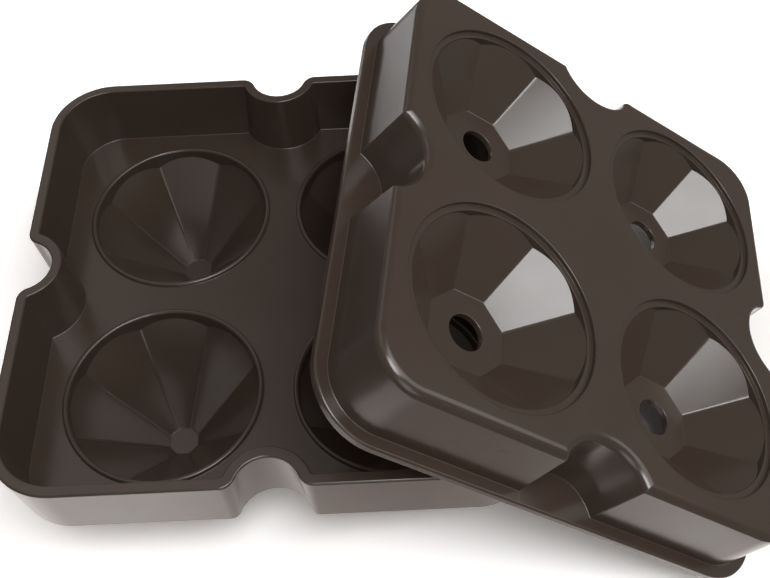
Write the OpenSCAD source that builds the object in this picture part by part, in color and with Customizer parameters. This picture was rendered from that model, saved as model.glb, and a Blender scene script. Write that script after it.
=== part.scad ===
// Ice cube mold for four brilliant-cut stones, in two halves of moulded silicone.
// The lower tray stands on its four faceted cups and holds the lower part of each stone.
// The upper half plugs into the tray, face down, and holds the upper part of each stone.
// It is shown taken out of the tray, turned face up and leaning on the tray's right rim.
// Millimetres, +Z up. The origin is on the table, under the middle of the two halves together.

/* [Overall] */
// Outside width of both halves, across the straight sides
mold_w = 140; // [136:0.5:150]
// Radius of the four outside corners, seen from above
corner_r = 18; // [14:0.5:22]
// Slope of every side wall from upright, in degrees
wall_draft = 4; // [2:0.25:5]

/* [Finger notches] */
// Depth of the notch in the middle of each side
notch_depth = 7.9; // [5:0.1:9]
// Radius of the two rounded shoulders of a notch
notch_shoulder_r = 4; // [3:0.1:5]
// Radius of the scoop between the shoulders
notch_scoop_r = 8.3; // [8:0.1:10]

/* [Stones] */
// Distance from one stone's centre to the next
stone_pitch = 63.6; // [62:0.2:66]
// Diameter of each stone at its girdle
stone_d = 52.4; // [48:0.2:52.8]
// Number of flat facets round each half of a stone
facet_count = 8; // [8:2:12]
// Height of the upper part of a stone, from the parting plane to its table
crown_depth = 16.3; // [14:0.1:17]
// Width of a stone's flat table, across its flats
table_w = 22.4; // [18:0.2:26]
// Height of the lower part of a stone, from the parting plane to its blunt point
pavilion_depth = 29.5; // [26:0.5:32]
// Diameter of the flat disc at the blunt point
culet_d = 8.6; // [7:0.1:10]
// Height of the upright band above the lower facets, at their middles
lower_girdle_h = 2; // [1.5:0.1:3]
// Height of the upright band below the sealing recess, at the upper facets' middles
upper_girdle_h = 0.3; // [0.2:0.1:1]

/* [Lower tray] */
// Depth inside the tray, from its rim to its floor
tray_depth = 19.8; // [19:0.1:22]
// Thickness of the tray's side wall at the rim
tray_wall_t = 3; // [2.5:0.1:3.5]
// Thickness of the tray's floor
tray_floor_t = 2.5; // [2:0.1:3]
// Thickness of the four cups under the floor
cup_wall_t = 2; // [1.5:0.1:2.5]

/* [Sealing bead] */
// Width of the raised bead round the mouth of each lower cavity
bead_w = 1.5; // [1.2:0.1:1.8]
// Height of the bead above the tray's floor
bead_h = 1; // [0.9:0.1:1.2]
// Room between the bead and the recess that it enters
bead_gap = 0.25; // [0.15:0.05:0.4]

/* [Upper half] */
// Room between the upper half's wall and the tray's wall at the rim
plug_gap = 0.5; // [0.4:0.1:1]
// Thickness of the upper half's side wall and of its four faceted domes
shell_t = 2; // [1.6:0.1:2.4]
// Thickness of the upper half's face between the cavities
face_t = 2.6; // [2.2:0.1:3]
// Radius of the rounded edge between the face and the side wall
face_edge_r = 2.2; // [1.5:0.1:2.6]
// Radius of the rounded edge round the mouth of the hollow underside
mouth_edge_r = 1.4; // [0.8:0.1:1.8]
// Thickness of the flange that lies on the tray's rim in use
flange_t = 2.6; // [2:0.1:3.2]
// Diameter of the fill hole in the middle of each table
fill_hole_d = 10.2; // [8:0.2:12]

/* [Leaning upper half] */
// Slope of the leaning upper half, down to the right, in degrees
lean_angle = 34; // [32:0.2:36]
// Turn of the leaning upper half seen from above, in degrees
lean_turn = -8.4; // [-10:0.2:-6]
// Sideways tip of the leaning upper half, in degrees
lean_tip = -0.8; // [-2:0.2:0]
// How far the leaning half's middle lies in front of the tray's middle
lean_forward = 9.6; // [8:0.1:12]
// Room left between the leaning half and the tray's rim
lean_gap = 0.35; // [0.2:0.05:1]

/* [Hidden] */
$fn = 96;
silicone = [0.29, 0.25, 0.235];
half_w = mold_w / 2;
stone_r = stone_d / 2;
half_pitch = stone_pitch / 2;
draft_run = tan(wall_draft);
// Radius of the rounded edges on the rim, the flange and the tray's underside
soft_edge_r = 0.6;
// Smallest radius left on an edge of an inner outline
least_r = 0.4;
// How far a cutting shape runs past the face that it opens
past = 1;
// Points on each corner, shoulder and scoop of an outline, and on a rounded edge in profile
corner_points = 9;
shoulder_points = 4;
scoop_points = 9;
edge_points = 3;
// Points added to each stretch of an outline where the two halves are set against each other
fill_steps = 12;
// Points round the sealing bead's section
bead_facets = 24;

// Lower tray, from the table up
culet_r = culet_d / 2;
// Step from the lower ends of the facets down to the flat disc
culet_step = 0.2;
rim_z = tray_depth + pavilion_depth + cup_wall_t;
floor_z = rim_z - tray_depth;
panel_z = floor_z - tray_floor_t;

// Upper half, measured down from its face
recess_depth = bead_h + bead_gap;
recess_r = stone_r + bead_w + bead_gap;
shell_inset = tray_wall_t + plug_gap;
hollow_inset = shell_inset + shell_t;
flange_back = tray_depth + flange_t;

// Points of an arc from one angle to another, leaving out the given number at each end
function arc(centre, r, from, to, count, skip = 0) =
    [
        for (i = [skip:count - 1 - skip])
            let (a = from + (to - from) * i / (count - 1))
            centre + r * [cos(a), sin(a)]
    ];

function turned(points, a) =
    [for (p = points) [p.x * cos(a) - p.y * sin(a), p.x * sin(a) + p.y * cos(a)]];

// Round corner at the right end of the front side
function front_corner(inset) =
    let (
        r = max(corner_r - inset, least_r),
        at = half_w - inset - r
    )
    arc([at, -at], r, -90, 0, corner_points);

// Notch in the front side: a scoop between two shoulders, whose arcs meet smoothly at any inset
function front_notch(inset) =
    let (
        shoulder_r = max(notch_shoulder_r - inset, least_r),
        scoop_r = notch_scoop_r + inset,
        scoop_y = notch_depth - half_w - notch_scoop_r,
        shoulder_y = inset - half_w + shoulder_r,
        rise = scoop_y - shoulder_y,
        reach = shoulder_r + scoop_r,
        shoulder_x = sqrt(reach * reach - rise * rise),
        meet = atan2(rise, shoulder_x)
    )
    concat(
        arc([-shoulder_x, shoulder_y], shoulder_r, -90, meet, shoulder_points),
        arc([0, scoop_y], scoop_r, 180 + meet, -meet, scoop_points, 1),
        arc([shoulder_x, shoulder_y], shoulder_r, 180 - meet, 270, shoulder_points)
    );

// Outline of the mold seen from above, drawn the given inset inside its outer one
function outline(inset, notched = true) =
    [
        for (side = [0:3])
            each turned(
                concat(notched ? front_notch(inset) : [], front_corner(inset)),
                90 * side
            )
    ];

// Profile of a rounded edge under a flat top, as [inset, height] pairs from the wall up.
// Slope is the wall's angle from upright, positive where the wall spreads downwards.
function rounded_edge(inset, top, r, slope) =
    let (centre = inset + r * (cos(slope) - tan(slope) * (1 - sin(slope))))
    [
        for (i = [0:edge_points - 1])
            let (a = slope + (90 - slope) * i / (edge_points - 1))
            [centre - r * cos(a), top - r + r * sin(a)]
    ];

// Profile of a cut whose mouth, in a flat underside, has a rounded edge
function rounded_mouth(inset, bottom, r) =
    concat(
        [[inset - r, bottom - past]],
        [
            for (i = [0:edge_points - 1])
                let (a = 90 * i / (edge_points - 1))
                [inset - r + r * sin(a), bottom + r - r * cos(a)]
        ]
    );

// Place of a point of the upper half's own frame after it is tipped, sloped and turned
function leaned(p) =
    let (
        y1 = p.y * cos(lean_tip) - p.z * sin(lean_tip),
        z1 = p.y * sin(lean_tip) + p.z * cos(lean_tip),
        x2 = p.x * cos(lean_angle) + z1 * sin(lean_angle),
        z2 = z1 * cos(lean_angle) - p.x * sin(lean_angle)
    )
    [x2 * cos(lean_turn) - y1 * sin(lean_turn), x2 * sin(lean_turn) + y1 * cos(lean_turn), z2];

function leaned_ring(ring, z) = [for (p = ring) leaned([p.x, p.y, z])];

// The same ring with more points along its straight sides
function filled(ring) =
    [
        for (i = [0:len(ring) - 1])
            let (next = ring[(i + 1) % len(ring)])
            for (t = [0:1 / fill_steps:1 - 1 / fill_steps])
                ring[i] * (1 - t) + next * t
    ];

// Right edge of the tray, from its middle, at a place y and a depth below its rim
function tray_reach(y, depth) =
    let (
        inset = depth * draft_run,
        r = corner_r - inset,
        beyond = max(abs(y) - half_w + corner_r, 0)
    )
    half_w - corner_r + sqrt(max(r * r - beyond * beyond, 0));

// The flange's lowest edge lies on the table.
lean_z = -min([for (p = leaned_ring(outline(soft_edge_r, false), -flange_back)) p.z]);
// The mouth of the hollow is drawn up to the tray's two right corners, which stand inside it.
mouth_rings = [
    for (step = rounded_mouth(hollow_inset, -flange_back, mouth_edge_r))
        each leaned_ring(filled(outline(step[0])), max(step[1], -flange_back))
];
lean_x = lean_gap + max([
    for (p = mouth_rings)
        let (depth = rim_z - lean_z - p.z, y = p.y - lean_forward)
        if (depth > 0 && abs(y) < half_w - depth * draft_run)
            tray_reach(y, depth) - p.x
]);
// The origin goes under the middle of the rectangle that both halves cover.
face_inset = shell_inset + tray_depth * draft_run;
outer_rings = concat(
    leaned_ring(outline(0, false), -tray_depth - soft_edge_r),
    leaned_ring(outline(face_inset - face_edge_r * draft_run), -face_edge_r)
);
set_left = -half_w;
set_right = lean_x + max([for (p = outer_rings) p.x]);
set_front = min([for (p = outer_rings) p.y]) - lean_forward;
set_back = max(half_w, max([for (p = outer_rings) p.y]) - lean_forward);
set_shift = -[set_left + set_right, set_front + set_back] / 2;

// Closed skin through the outlines at each [inset, height] of a profile, from the bottom up
module loft(profile, notched = true) {
    rings = [for (p = profile) outline(p[0], notched)];
    count = len(rings[0]);
    last = len(profile) - 1;
    low_middle = count * (last + 1);
    high_middle = low_middle + 1;
    polyhedron(
        points = concat(
            [for (k = [0:last]) for (p = rings[k]) [p.x, p.y, profile[k][1]]],
            [[0, 0, profile[0][1]], [0, 0, profile[last][1]]]
        ),
        faces = [
            for (i = [0:count - 1])
                let (next = (i + 1) % count)
                each concat(
                    [[low_middle, i, next]],
                    [
                        for (k = [0:last - 1])
                            let (a = k * count + i, b = k * count + next)
                            each [[a, a + count, b + count], [a, b + count, b]]
                    ],
                    [[high_middle, last * count + next, last * count + i]]
                )
        ]
    );
}

// One half of a stone pointing down from height 0: flat facets cut from a round girdle.
// The facets run from the girdle's lower edge to the flat end, and wall thickens the form all over.
module stone_half(depth, flat_r, girdle_h, wall, top) {
    facet_angle = atan2(depth - girdle_h, stone_r - flat_r);
    end_z = -depth - wall;
    end_r = flat_r - wall / tan(facet_angle) + wall / sin(facet_angle);
    top_r = end_r + (top - end_z) / tan(facet_angle);
    facet_profile = [[-top_r, top], [top_r, top], [end_r, end_z], [-end_r, end_z]];
    intersection() {
        translate([0, 0, end_z])
            cylinder(h = top - end_z, r = stone_r + wall);
        intersection_for (i = [0:facet_count / 2 - 1])
            rotate([90, 0, 360 * i / facet_count])
                linear_extrude(height = 3 * stone_r, center = true)
                    polygon(facet_profile);
    }
}

module lower_stone(depth, wall, top) {
    stone_half(depth, culet_r, lower_girdle_h, wall, top);
}

module upper_stone(wall, top) {
    stone_half(crown_depth, table_w / 2, recess_depth + upper_girdle_h, wall, top);
}

module at_stones() {
    for (x = [-half_pitch, half_pitch])
        for (y = [-half_pitch, half_pitch])
            translate([x, y, 0])
                children();
}

// Rounded bead that stands on the tray's floor, sunk a little into it
module sealing_bead() {
    rotate_extrude()
        translate([stone_r, 0])
            union() {
                translate([0, -past])
                    square([bead_w, past + bead_h - bead_w / 2]);
                translate([bead_w / 2, bead_h - bead_w / 2])
                    circle(d = bead_w, $fn = bead_facets);
            }
}

// Tray wall and floor without the cavities, with the floor's top at floor_z
module tray_basin() {
    wall_h = rim_z - panel_z;
    difference() {
        loft(concat(
            [
                [wall_h * draft_run + soft_edge_r, panel_z],
                [wall_h * draft_run, panel_z + soft_edge_r]
            ],
            rounded_edge(0, rim_z, soft_edge_r, -wall_draft)
        ));
        loft([
            [tray_wall_t + tray_depth * draft_run, floor_z],
            [tray_wall_t, rim_z],
            [tray_wall_t, rim_z + past]
        ]);
    }
}

// Lower tray, standing on the flat ends of its four cups
module lower_tray() {
    color(silicone)
        translate(set_shift)
            difference() {
                union() {
                    tray_basin();
                    translate([0, 0, floor_z])
                        at_stones() {
                            lower_stone(pavilion_depth, cup_wall_t, -tray_floor_t / 2);
                            sealing_bead();
                        }
                }
                translate([0, 0, floor_z])
                    at_stones() {
                        lower_stone(pavilion_depth - culet_step, 0, past);
                        translate([0, 0, -pavilion_depth])
                            cylinder(h = past, r = culet_r);
                    }
            }
}

// Shell of the upper half, face up: its face at height 0, its flange at the bottom
module plug_shell() {
    difference() {
        union() {
            loft(concat(
                [[shell_inset, -tray_depth - flange_t / 2], [shell_inset, -tray_depth]],
                rounded_edge(face_inset, 0, face_edge_r, wall_draft)
            ));
            loft(concat(
                [[soft_edge_r, -flange_back], [0, -flange_back + soft_edge_r]],
                rounded_edge(0, -tray_depth, soft_edge_r, 0)
            ), notched = false);
        }
        loft(concat(
            rounded_mouth(hollow_inset, -flange_back, mouth_edge_r),
            [
                [hollow_inset, -tray_depth],
                [hollow_inset + (tray_depth - face_t) * draft_run, -face_t]
            ]
        ));
    }
}

module upper_half_level() {
    difference() {
        union() {
            plug_shell();
            at_stones()
                upper_stone(shell_t, -face_t / 2);
        }
        at_stones() {
            upper_stone(0, past);
            translate([0, 0, -recess_depth])
                cylinder(h = recess_depth + past, r = recess_r);
            translate([0, 0, -crown_depth - shell_t - past])
                cylinder(h = shell_t + 2 * past, d = fill_hole_d);
        }
    }
}

// Upper half, turned face up and leaning on the tray
module upper_half() {
    color(silicone)
        translate([set_shift.x + lean_x, set_shift.y - lean_forward, lean_z])
            rotate([lean_tip, lean_angle, lean_turn])
                upper_half_level();
}

lower_tray();
upper_half();
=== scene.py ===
import math

import bmesh
import bpy
from mathutils import Euler, Matrix, Vector
from mathutils.geometry import tessellate_polygon


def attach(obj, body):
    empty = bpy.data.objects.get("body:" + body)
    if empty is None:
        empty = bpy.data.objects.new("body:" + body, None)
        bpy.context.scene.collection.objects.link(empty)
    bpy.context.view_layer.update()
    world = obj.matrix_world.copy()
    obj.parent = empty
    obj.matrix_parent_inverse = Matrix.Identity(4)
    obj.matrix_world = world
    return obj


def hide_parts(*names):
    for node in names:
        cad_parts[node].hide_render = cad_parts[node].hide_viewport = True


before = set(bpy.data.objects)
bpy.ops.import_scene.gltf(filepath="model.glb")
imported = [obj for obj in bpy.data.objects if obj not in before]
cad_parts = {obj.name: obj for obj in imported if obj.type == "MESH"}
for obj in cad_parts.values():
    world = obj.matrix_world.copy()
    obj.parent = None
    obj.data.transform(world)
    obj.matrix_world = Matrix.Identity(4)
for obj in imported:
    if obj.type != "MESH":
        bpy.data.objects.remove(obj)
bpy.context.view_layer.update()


# Camera
# It looks down at both halves from the front, as near as the photograph was taken.
rim_middle = Vector((-0.0397155, 0.00695902, 0.0513))
camera_data = bpy.data.cameras.new("camera")
camera_data.sensor_width = 36
camera_data.lens = 46.975
camera_data.clip_start = 0.01
camera = bpy.data.objects.new("camera", camera_data)
bpy.context.scene.collection.objects.link(camera)
camera_right = Vector((0.998899, -0.038837, -0.026331))
camera_up = Vector((0.046917, 0.818801, 0.572157))
camera_back = camera_right.cross(camera_up)
camera.matrix_world = Matrix.LocRotScale(
    rim_middle + Vector((0.0304466, -0.1696632, 0.2228389)),
    Matrix((camera_right, camera_up, camera_back)).transposed(),
    None,
)
bpy.context.scene.camera = camera


# Lower tray: walls and floor
# Dark silicone, moulded in one go with its four cups. Its straight walls lean outwards to the
# rim, and a finger notch with rounded shoulders is pressed into the middle of each side. They
# are lofted, in millimetres, through one outline of the mold that is inset at each height.
MM = 0.001
half_width = 70.0
corner_radius = 18.0
notch_depth, shoulder_radius, scoop_radius = 7.9, 4.0, 8.3
least_radius = 0.4
draft = math.tan(math.radians(4))
wall, inner_depth = 3, 19.8
upper_inset = 3.5
SHOULDER_POINTS, SCOOP_POINTS, CORNER_POINTS = 12, 33, 25


def arc(x, y, radius, start, end, count, skip=0):
    angles = [start + (end - start) * i / (count - 1) for i in range(skip, count - skip)]
    return [(x + radius * math.cos(a), y + radius * math.sin(a)) for a in angles]


def front_notch(inset):
    shoulder_r = max(shoulder_radius - inset, least_radius)
    scoop_r = scoop_radius + inset
    scoop_y = notch_depth - half_width - scoop_radius
    shoulder_y = inset - half_width + shoulder_r
    rise, reach = scoop_y - shoulder_y, shoulder_r + scoop_r
    shoulder_x = math.sqrt(reach**2 - rise**2)
    meet, quarter = math.atan2(rise, shoulder_x), math.pi / 2
    return (
        arc(-shoulder_x, shoulder_y, shoulder_r, -quarter, meet, SHOULDER_POINTS)
        + arc(0, scoop_y, scoop_r, math.pi + meet, -meet, SCOOP_POINTS, skip=1)
        + arc(shoulder_x, shoulder_y, shoulder_r, math.pi - meet, 3 * quarter, SHOULDER_POINTS)
    )


def outline(inset, notched=True):
    """Outline of the mold seen from above. Without notches it has the same number of points."""
    if notched:
        side = front_notch(inset)
    else:
        side = [(x, inset - half_width) for x, y in front_notch(upper_inset)]
    radius = max(corner_radius - inset, least_radius)
    middle = half_width - inset - radius
    side = side + arc(middle, -middle, radius, -math.pi / 2, 0, CORNER_POINTS)
    ring = []
    for quarter in range(4):
        c, s = ((1, 0), (0, 1), (-1, 0), (0, -1))[quarter]
        ring += [(x * c - y * s, x * s + y * c) for x, y in side]
    return ring


def rounded(path, steps=5):
    """Profile of a path of (inset, height, radius) corners, each rounded. Its ends are left out."""
    profile = []
    for before, at, after in zip(path, path[1:], path[2:]):
        corner = Vector(at[:2])
        back = (Vector(before[:2]) - corner).normalized()
        on = (Vector(after[:2]) - corner).normalized()
        if not at[2]:
            profile.append(tuple(corner))
            continue
        half_angle = back.angle(on) / 2
        centre = corner + (back + on).normalized() * at[2] / math.sin(half_angle)
        first = corner + back * at[2] / math.tan(half_angle) - centre
        last = corner + on * at[2] / math.tan(half_angle) - centre
        for i in range(steps + 1):
            turn = first.lerp(last, i / steps).normalized() * at[2]
            profile.append(tuple(centre + turn))
    return profile


class Skin:
    """Points and faces of one surface, with the width to which each marked edge is rounded."""

    def __init__(self):
        self.points, self.faces, self.edge_widths = [], [], {}

    def ring(self, points, height=None):
        first = len(self.points)
        self.points += [(p[0], p[1], p[2] if height is None else height) for p in points]
        return list(range(first, len(self.points)))

    def band(self, ring, other):
        for i in range(len(ring)):
            j = (i + 1) % len(ring)
            self.faces.append((ring[i], ring[j], other[j], other[i]))

    def lofted(self, profile, notched=True):
        rings = [self.ring(outline(inset, notched), height) for inset, height in profile]
        for ring, other in zip(rings, rings[1:]):
            self.band(ring, other)
        return rings[0], rings[-1]

    def plate(self, edge, hole_radius):
        """Flat plate inside an edge, with a round hole at each stone."""
        height = self.points[edge[0]][2]
        holes = [
            self.ring([(x + px, y + py) for px, py in circle(hole_radius)], height)
            for x in (-half_pitch, half_pitch)
            for y in (-half_pitch, half_pitch)
        ]
        loops = [edge] + holes
        flat = [i for loop in loops for i in loop]
        corners = tessellate_polygon([[Vector(self.points[i]) for i in loop] for loop in loops])
        self.faces += [tuple(flat[i] for i in corner) for corner in corners]

    def soften(self, ring, width):
        for i in range(len(ring)):
            self.edge_widths[frozenset((ring[i], ring[(i + 1) % len(ring)]))] = width

    def mesh(self, name):
        mesh = bpy.data.meshes.new(name)
        mesh.from_pydata([tuple(c * MM for c in p) for p in self.points], [], self.faces)
        widths = mesh.attributes.new("bevel_weight_edge", "FLOAT", "EDGE")
        for edge in mesh.edges:
            widths.data[edge.index].value = self.edge_widths.get(frozenset(edge.vertices), 0)
        return mesh


half_pitch = 31.8
stone_radius = 26.2
COLUMNS = 192
angles = [2 * math.pi * k / COLUMNS for k in range(COLUMNS)]


def circle(radius):
    return [(radius * math.cos(a), radius * math.sin(a)) for a in angles]


def off_facet_middle(angle):
    """Cosine of the angle between a direction and the middle of its nearest facet."""
    facet = math.pi / 4
    return math.cos(angle - facet * round(angle / facet))


tray_floor_z, tray_panel_z, rim_z = 31.5, 29.0, 51.3
floor_hole, panel_hole = 29.0, 29.2
tray_middle_inset = 9
tray_shell = Skin()
inner_foot, outer_foot = tray_shell.lofted(rounded([
    (tray_middle_inset, tray_floor_z, 0),
    (wall + inner_depth * draft, tray_floor_z, 0.3),
    (wall, rim_z, 0.45),
    (0, rim_z, 0.6),
    ((rim_z - tray_panel_z) * draft, tray_panel_z, 0.6),
    (tray_middle_inset, tray_panel_z, 0),
]))
tray_shell.plate(inner_foot, floor_hole)
tray_shell.plate(outer_foot, panel_hole)


# Lower tray: cups
# Each cup holds the lower part of a stone: a round sealing bead on the floor, an upright band,
# eight flat facets and a flat disc. Outside it has the same facets, and the tray stands on it.
def stone_faces(skin, depth, flat_radius, girdle_height, thickness, zero, top_depth):
    """Facets from a round band down to a flat end, and the band's and the end's edge."""
    slope = math.atan2(depth - girdle_height, stone_radius - flat_radius)
    end_radius = flat_radius - thickness / math.tan(slope) + thickness / math.sin(slope)
    end_depth = depth + thickness
    upper, lower = [], []
    for a in angles:
        across = off_facet_middle(a)
        meet = end_depth - ((stone_radius + thickness) * across - end_radius) * math.tan(slope)
        meet = max(meet, top_depth)
        radius = (end_radius + (end_depth - meet) / math.tan(slope)) / across
        radius = min(radius, stone_radius + thickness)
        upper.append((radius * math.cos(a), radius * math.sin(a), zero - meet))
        radius = end_radius / across
        lower.append((radius * math.cos(a), radius * math.sin(a), zero - end_depth))
    upper, lower = skin.ring(upper), skin.ring(lower)
    skin.band(upper, lower)
    return upper, lower


def soften_facets(skin, upper, lower, width):
    half = COLUMNS // 16
    for k in range(half, COLUMNS, 2 * half):
        skin.edge_widths[frozenset((upper[k], lower[k]))] = width


stone_depth, disc_radius, disc_step = 29.5, 4.3, 0.2
tray_girdle, cup_wall = 2, 2
bead_middle, bead_radius, bead_foot = 26.95, 0.75, 0.25
BEAD_STEPS = 12
tray_cup = Skin()
bead = [
    (floor_hole, 0), (bead_middle + bead_radius, 0), (bead_middle + bead_radius, bead_foot)
]
for i in range(1, BEAD_STEPS + 1):
    turn = math.pi * i / BEAD_STEPS
    bead.append(
        (bead_middle + bead_radius * math.cos(turn), bead_foot + bead_radius * math.sin(turn))
    )
rings = [tray_cup.ring(circle(r), tray_floor_z + z) for r, z in bead]
tray_cup.soften(rings[1], 0.15)
upper, lower = stone_faces(
    tray_cup, depth=stone_depth - disc_step, flat_radius=disc_radius, girdle_height=tray_girdle,
    thickness=0, zero=tray_floor_z, top_depth=0.5,
)
rings += [upper]
for ring, other in zip(rings, rings[1:]):
    tray_cup.band(ring, other)
tray_cup.soften(upper, 0.2)
tray_cup.soften(lower, 0.1)
soften_facets(tray_cup, upper, lower, 0.35)
step_edge = tray_cup.ring(circle(4.15), tray_floor_z - (stone_depth - disc_step))
disc = tray_cup.ring(circle(disc_radius - disc_step), tray_floor_z - stone_depth)
tray_cup.band(lower, step_edge)
tray_cup.band(step_edge, disc)
tray_cup.soften(step_edge, 0.06)
tray_cup.faces.append(disc)

outside = [tray_cup.ring(circle(r), tray_panel_z) for r in (panel_hole, stone_radius + cup_wall)]
upper, lower = stone_faces(
    tray_cup, depth=stone_depth, flat_radius=disc_radius, girdle_height=tray_girdle,
    thickness=cup_wall, zero=tray_floor_z, top_depth=2.65,
)
tray_cup.band(*outside)
tray_cup.band(outside[1], upper)
tray_cup.faces.append(lower)
tray_cup.soften(lower, 0.4)
soften_facets(tray_cup, upper, lower, 0.6)


# Silicone
# Both halves are the same satin, dark brown-grey silicone. Noise varies its colour and its
# roughness a little, and two bumps give it slow waves and the fine grain of its mold.
silicone = bpy.data.materials.new("silicone")
silicone.use_nodes = True
tree = silicone.node_tree
nodes, links = tree.nodes, tree.links
shader = nodes["Principled BSDF"]
shader.inputs["IOR"].default_value = 1.55
shader.inputs["Sheen Weight"].default_value = 0.024
shader.inputs["Sheen Roughness"].default_value = 1.0
shader.inputs["Sheen Tint"].default_value = (1, 0.72, 0.55, 1)
place = nodes.new("ShaderNodeTexCoord").outputs["Object"]


def noise(scale, detail, roughness=0.5):
    made = nodes.new("ShaderNodeTexNoise")
    made.inputs["Scale"].default_value = scale
    made.inputs["Detail"].default_value = detail
    made.inputs["Roughness"].default_value = roughness
    links.new(place, made.inputs["Vector"])
    return made.outputs["Fac"]


def spread(value, low, high):
    made = nodes.new("ShaderNodeMapRange")
    made.inputs["From Min"].default_value = 0.3
    made.inputs["From Max"].default_value = 0.7
    made.inputs["To Min"].default_value = low
    made.inputs["To Max"].default_value = high
    links.new(value, made.inputs["Value"])
    return made.outputs["Result"]


def bumped(height, distance, under=None):
    made = nodes.new("ShaderNodeBump")
    made.inputs["Strength"].default_value = 1.0
    made.inputs["Distance"].default_value = distance
    links.new(height, made.inputs["Height"])
    if under:
        links.new(under, made.inputs["Normal"])
    return made.outputs["Normal"]


tint = nodes.new("ShaderNodeMix")
tint.data_type = "RGBA"
tint.inputs["A"].default_value = (0.033, 0.023, 0.0165, 1)
tint.inputs["B"].default_value = (0.038, 0.0265, 0.019, 1)
links.new(spread(noise(scale=28, detail=3), low=0, high=1), tint.inputs["Factor"])
links.new(tint.outputs["Result"], shader.inputs["Base Color"])
links.new(spread(noise(scale=60, detail=4), low=0.19, high=0.24), shader.inputs["Roughness"])
waves = bumped(noise(scale=70, detail=2), distance=0.00004)
grain = bumped(noise(scale=2600, detail=2), distance=0.000004, under=waves)
links.new(grain, shader.inputs["Normal"])


# Lower tray: put together
# The cups are the same four times over, so a node tree sets one at each stone and joins it on.
# A bevel then rounds the marked edges, each to its own width. The upper half is made alike.
SEAM_GAP, SAME_POINT = 0.00002, 0.000002


def cups_tree():
    made = bpy.data.node_groups.new("cups", "GeometryNodeTree")
    face = made.interface
    face.new_socket("Geometry", in_out="INPUT", socket_type="NodeSocketGeometry")
    face.new_socket("Cup", in_out="INPUT", socket_type="NodeSocketObject")
    face.new_socket("Stone pitch", in_out="INPUT", socket_type="NodeSocketFloat")
    face.new_socket("Material", in_out="INPUT", socket_type="NodeSocketMaterial")
    face.new_socket("Geometry", in_out="OUTPUT", socket_type="NodeSocketGeometry")
    given = made.nodes.new("NodeGroupInput").outputs
    result = made.nodes.new("NodeGroupOutput").inputs

    def step(kind, **values):
        node = made.nodes.new("GeometryNode" + kind)
        for name, value in values.items():
            socket = node.inputs[name.replace("_", " ")]
            if isinstance(value, bpy.types.NodeSocket):
                made.links.new(value, socket)
            else:
                socket.default_value = value
        return node.outputs

    points = step(
        "MeshGrid", Size_X=given["Stone pitch"], Size_Y=given["Stone pitch"],
        Vertices_X=2, Vertices_Y=2,
    )
    cup = step("ObjectInfo", Object=given["Cup"])
    cups = step("InstanceOnPoints", Points=points["Mesh"], Instance=cup["Geometry"])
    four = step("RealizeInstances", Geometry=cups["Instances"])
    joined = made.nodes.new("GeometryNodeJoinGeometry")
    made.links.new(four["Geometry"], joined.inputs[0])
    made.links.new(given["Geometry"], joined.inputs[0])
    merged = step("MergeByDistance", Geometry=joined.outputs[0], Distance=SEAM_GAP)
    dressed = step("SetMaterial", Geometry=merged["Geometry"], Material=given["Material"])
    made.links.new(dressed["Geometry"], result["Geometry"])
    return made


cups = cups_tree()
cup_sockets = {item.name: item.identifier for item in cups.interface.items_tree}


def put_together(name, shell, cup, place):
    """One closed mesh of a shell and its four cups, moved to its place."""
    collection = bpy.context.scene.collection
    cup_object = bpy.data.objects.new(name + "_cup", cup.mesh(name + "_cup"))
    collection.objects.link(cup_object)
    shell_object = bpy.data.objects.new(name + "_shell", shell.mesh(name + "_shell"))
    collection.objects.link(shell_object)
    modifier = shell_object.modifiers.new("cups", "NODES")
    modifier.node_group = cups
    modifier[cup_sockets["Cup"]] = cup_object
    modifier[cup_sockets["Stone pitch"]] = 2 * half_pitch * MM
    modifier[cup_sockets["Material"]] = silicone
    graph = bpy.context.evaluated_depsgraph_get()
    mesh = bpy.data.meshes.new_from_object(shell_object.evaluated_get(graph), depsgraph=graph)
    bpy.data.objects.remove(shell_object)
    bpy.data.objects.remove(cup_object)
    work = bmesh.new()
    work.from_mesh(mesh)
    bmesh.ops.remove_doubles(work, verts=work.verts, dist=SAME_POINT)
    bmesh.ops.recalc_face_normals(work, faces=work.faces)
    work.to_mesh(mesh)
    work.free()
    mesh.transform(place)
    mesh.shade_smooth()
    mesh.name = name
    piece = bpy.data.objects.new(name, mesh)
    collection.objects.link(piece)
    bevel = piece.modifiers.new("soft_edges", "BEVEL")
    bevel.limit_method = "WEIGHT"
    bevel.width = MM
    bevel.segments = 3
    bevel.use_clamp_overlap = False
    normals = piece.modifiers.new("flat_faces", "WEIGHTED_NORMAL")
    normals.weight = 50
    return piece


tray_place = Matrix.Translation((rim_middle.x, rim_middle.y, 0))
tray = put_together("tray", tray_shell, tray_cup, tray_place)
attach(tray, "tray")
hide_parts("lower_tray")


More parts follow.
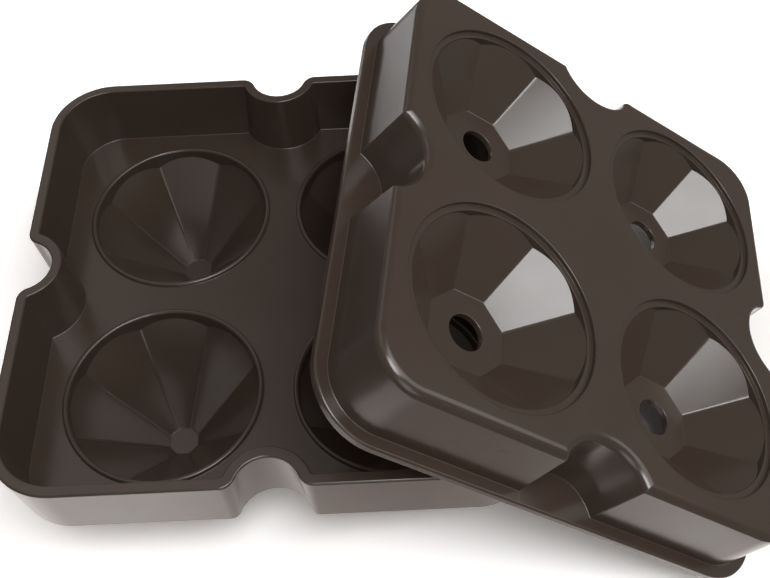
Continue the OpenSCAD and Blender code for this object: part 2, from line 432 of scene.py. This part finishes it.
# Upper half
# The same silicone: a notched block that plugs into the tray face down. Its face has four
# recessed cavities with a fill hole each, a plain square flange runs round its foot, and it is
# hollow underneath. It is lofted as the tray is, and leans on the tray, face up.
face_z, flange_top, flange_bottom, face_back = 0.0, -19.8, -22.34, -2.6
hollow_inset, hollow_depth = 5.5, 17.2
flange_inset, flange_middle_inset = 0.12, 2
face_hole, back_hole = 28.5, 29.0
upper_shell = Skin()
face_edge, foot = upper_shell.lofted(rounded([
    (12, face_z, 0),
    (upper_inset + inner_depth * draft, face_z, 2.4),
    (upper_inset, flange_top, 0.25),
    (1, flange_top, 0),
], steps=8))
flange_upper, flange_lower = upper_shell.lofted(rounded([
    (flange_middle_inset, flange_top, 0),
    (flange_inset, flange_top, 0.6),
    (flange_inset, flange_bottom, 0.6),
    (flange_middle_inset, flange_bottom, 0),
]), notched=False)
mouth, back_edge = upper_shell.lofted(rounded([
    (3, flange_bottom, 0),
    (hollow_inset, flange_bottom, 1.4),
    (hollow_inset, flange_top, 0),
    (hollow_inset + hollow_depth * draft, face_back, 0.9),
    (14, face_back, 0),
]))
upper_shell.band(foot, flange_upper)
upper_shell.band(flange_lower, mouth)
upper_shell.plate(face_edge, face_hole)
upper_shell.plate(back_edge, back_hole)

crown_depth, table_radius, crown_girdle, dome_wall = 16.3, 11.2, 1.55, 2
recess_radius, recess_depth = 27.95, 1.25
fill_radius = 5.1
upper_cup = Skin()
recess = [
    (face_hole, 0), (recess_radius, 0), (recess_radius, -recess_depth),
    (stone_radius, -recess_depth),
]
rings = [upper_cup.ring(circle(r), z) for r, z in recess]
upper, lower = stone_faces(
    upper_cup, depth=crown_depth, flat_radius=table_radius, girdle_height=crown_girdle,
    thickness=0, zero=face_z, top_depth=1.5,
)
hole = [
    upper_cup.ring(circle(fill_radius), z) for z in (-crown_depth, -crown_depth - dome_wall)
]
outer_upper, outer_lower = stone_faces(
    upper_cup, depth=crown_depth, flat_radius=table_radius, girdle_height=crown_girdle,
    thickness=dome_wall, zero=face_z, top_depth=2.9,
)
rings += [upper]
for ring, other in zip(rings, rings[1:]):
    upper_cup.band(ring, other)
for ring, other in zip((lower, *hole), (*hole, outer_lower)):
    upper_cup.band(ring, other)
back_ring = upper_cup.ring([upper_cup.points[i][:2] for i in outer_upper], face_back)
upper_cup.band(outer_upper, back_ring)
upper_cup.band(back_ring, upper_cup.ring(circle(back_hole), face_back))
for ring, width in zip(rings[1:], (0.25, 0.1, 0.1, 0.1)):
    upper_cup.soften(ring, width)
upper_cup.soften(lower, 0.25)
for ring in hole:
    upper_cup.soften(ring, 0.25)
upper_cup.soften(outer_lower, 0.5)
soften_facets(upper_cup, upper, lower, 0.35)
soften_facets(upper_cup, outer_upper, outer_lower, 0.5)

lean = Euler((math.radians(-0.8), math.radians(34), math.radians(-8.4)), "XYZ")
upper_place = Matrix.LocRotScale(
    Vector((rim_middle.x + 0.0897791, rim_middle.y - 0.0096, 0.0579785)), lean, None
)
upper_half = put_together("upper", upper_shell, upper_cup, upper_place)
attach(upper_half, "upper")
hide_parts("upper_half")


# Floor and light
# A sheet of white paper on a grey table. The camera sees both white, with the mold's shadow, and
# the silicone sees the grey round the paper and, as in the photograph, a painted reflection of the
# paper: painted shade, dim and warm, in front of the mold, and painted light farther off.
# The camera's white is weaker under the upper half, a painted shade that keeps its shadow dark
# in the fill holes.
# Five soft lamps light the mold, and a dim, warm surround fills in.
def flat_floor(name, corners, height, matt, mirrored_near, mirrored_far):
    """Floor with one look for plain light, one for reflections and a white one for the camera."""
    mesh = bpy.data.meshes.new(name)
    mesh.from_pydata([(x, y, height) for x, y in corners], [], [tuple(range(len(corners)))])
    thing = bpy.data.objects.new(name, mesh)
    bpy.context.scene.collection.objects.link(thing)
    material = bpy.data.materials.new(name)
    material.use_nodes = True
    mesh.materials.append(material)
    made, join = material.node_tree.nodes, material.node_tree.links
    surface = made["Principled BSDF"].inputs
    surface["Roughness"].default_value = 1.0
    surface["Specular IOR Level"].default_value = 0.0
    surface["Emission Color"].default_value = (1, 1, 1, 1)
    place = made.new("ShaderNodeTexCoord").outputs["Object"]
    ray = made.new("ShaderNodeLightPath").outputs

    def away(point, start, end):
        distance = made.new("ShaderNodeVectorMath")
        distance.operation = "DISTANCE"
        distance.inputs[1].default_value = point
        join.new(place, distance.inputs[0])
        fade = made.new("ShaderNodeMapRange")
        fade.interpolation_type = "SMOOTHSTEP"
        fade.inputs["From Min"].default_value = start
        fade.inputs["From Max"].default_value = end
        join.new(distance.outputs["Value"], fade.inputs["Value"])
        return fade.outputs["Result"]

    def choose(factor, one, other):
        choice = made.new("ShaderNodeMix")
        choice.data_type = "RGBA"
        join.new(factor, choice.inputs["Factor"])
        for socket, value in ((choice.inputs["A"], one), (choice.inputs["B"], other)):
            if isinstance(value, tuple):
                socket.default_value = value
            else:
                join.new(value, socket)
        return choice.outputs["Result"]

    # Painted shade: under the upper half the camera's white drops from 1.5 to 1, darkening the
    # shadow.
    painted_shade_under_upper_half = away((0.075, 0.013, 0), 0.042, 0.066)
    white = choose(painted_shade_under_upper_half, (1, 1, 1, 1), (1.5, 1.5, 1.5, 1))
    # Painted reflection, for glossy rays only: painted shade, dim and warm, in front of the mold,
    # and painted light, brighter than white, farther off.
    painted_reflection_fade = away((-0.005, -0.105, 0), 0.015, 0.085)
    colour = choose(painted_reflection_fade, mirrored_near, mirrored_far)
    colour = choose(ray["Is Glossy Ray"], matt, colour)
    colour = choose(ray["Is Camera Ray"], colour, white)
    colour = choose(ray["Is Transmission Ray"], colour, white)
    join.new(colour, surface["Base Color"])
    glow = made.new("ShaderNodeMath")
    glow.operation = "MULTIPLY"
    join.new(away((0, 0, 0), 0.28, 0.6), glow.inputs[0])
    join.new(ray["Is Camera Ray"], glow.inputs[1])
    join.new(glow.outputs[0], surface["Emission Strength"])


grey = (0.2, 0.2, 0.2, 1)
flat_floor(
    "table", [(-3, -3), (3, -3), (3, 3), (-3, 3)], height=-0.0004,
    matt=grey, mirrored_near=grey, mirrored_far=grey,
)
flat_floor(
    "paper", [(-0.21, -0.245), (0.10, -0.09), (0.175, 0.21), (-0.20, 0.215)], height=-0.0003,
    matt=(0.8, 0.8, 0.8, 1), mirrored_near=(0.70, 0.58, 0.54, 1),
    mirrored_far=(1.75, 1.70, 1.64, 1),
)


def softbox(name, place, aim, long_side, size, watts, colour=(1, 1, 1)):
    """Rectangular lamp. Its place and aim are measured from the middle of the tray's rim."""
    data = bpy.data.lights.new(name, "AREA")
    data.shape = "RECTANGLE"
    data.size, data.size_y = size
    data.energy = watts
    data.color = colour
    lamp = bpy.data.objects.new(name, data)
    bpy.context.scene.collection.objects.link(lamp)
    place, aim, long_side = Vector(place), Vector(aim), Vector(long_side)
    back = (place - aim).normalized()
    along = (long_side - back * long_side.dot(back)).normalized()
    lamp.matrix_world = Matrix.LocRotScale(
        rim_middle + place, Matrix((along, back.cross(along), back)).transposed(), None
    )


warm, warmer = (1, 0.97, 0.95), (1, 0.95, 0.92)
softbox(
    "front_lamp", place=(0.147, -0.301, 0.8), aim=(0.06, -0.01, 0),
    long_side=(0.852, 0.524, 0), size=(0.38, 0.31), watts=3.8,
)
softbox(
    "right_lamp", place=(0.784, -0.076, 0.529), aim=(0.06, 0, 0),
    long_side=(0, 1, 0), size=(0.58, 0.58), watts=1.8, colour=warmer,
)
softbox(
    "upper_right_lamp", place=(0.433, -0.086, 0.744), aim=(0.03, 0, 0),
    long_side=(0.208, 0.978, 0), size=(0.40, 0.27), watts=1.4, colour=warm,
)
softbox(
    "fill_lamp", place=(0.10, -0.81, 0.38), aim=(0, 0, 0),
    long_side=(1, 0, 0), size=(0.48, 0.48), watts=1.1, colour=warmer,
)
softbox(
    "back_lamp", place=(-0.11, 0.264, 0.01), aim=(0.03, 0.03, 0),
    long_side=(0.87, 0.5, 0), size=(0.15, 0.1), watts=0.066,
)

dim = 0.22
world = bpy.data.worlds.new("surround")
bpy.context.scene.world = world
world.use_nodes = True
world_nodes, world_links = world.node_tree.nodes, world.node_tree.links
direction = world_nodes.new("ShaderNodeTexCoord").outputs["Generated"]
strength = None
for toward, start, end, added in (
    ((0.862, 0.498, 0.1), 0.6, 1.0, 0.04),
    ((-0.31, 0.26, 0.91), 0.93, 0.985, 0.55),
    ((-0.40, 0.66, 0.636), 0.97, 0.9925, 0.5),
):
    facing = world_nodes.new("ShaderNodeVectorMath")
    facing.operation = "DOT_PRODUCT"
    facing.inputs[1].default_value = toward
    world_links.new(direction, facing.inputs[0])
    glow = world_nodes.new("ShaderNodeMapRange")
    glow.interpolation_type = "SMOOTHSTEP"
    glow.inputs["From Min"].default_value = start
    glow.inputs["From Max"].default_value = end
    glow.inputs["To Max"].default_value = added
    world_links.new(facing.outputs["Value"], glow.inputs["Value"])
    total = world_nodes.new("ShaderNodeMath")
    total.operation = "ADD"
    total.inputs[1].default_value = dim
    world_links.new(glow.outputs["Result"], total.inputs[0])
    if strength:
        world_links.new(strength, total.inputs[1])
    strength = total.outputs[0]
seen = world_nodes.new("ShaderNodeLightPath").outputs["Is Camera Ray"]
shown = world_nodes.new("ShaderNodeMath")
shown.operation = "MAXIMUM"
world_links.new(strength, shown.inputs[0])
world_links.new(seen, shown.inputs[1])
world_links.new(shown.outputs[0], world_nodes["Background"].inputs["Strength"])
hue = world_nodes.new("ShaderNodeMix")
hue.data_type = "RGBA"
hue.inputs["A"].default_value = (1, 0.92, 0.9, 1)
hue.inputs["B"].default_value = (1, 1, 1, 1)
world_links.new(seen, hue.inputs["Factor"])
world_links.new(hue.outputs["Result"], world_nodes["Background"].inputs["Color"])

bpy.context.scene.view_settings.view_transform = "Standard"
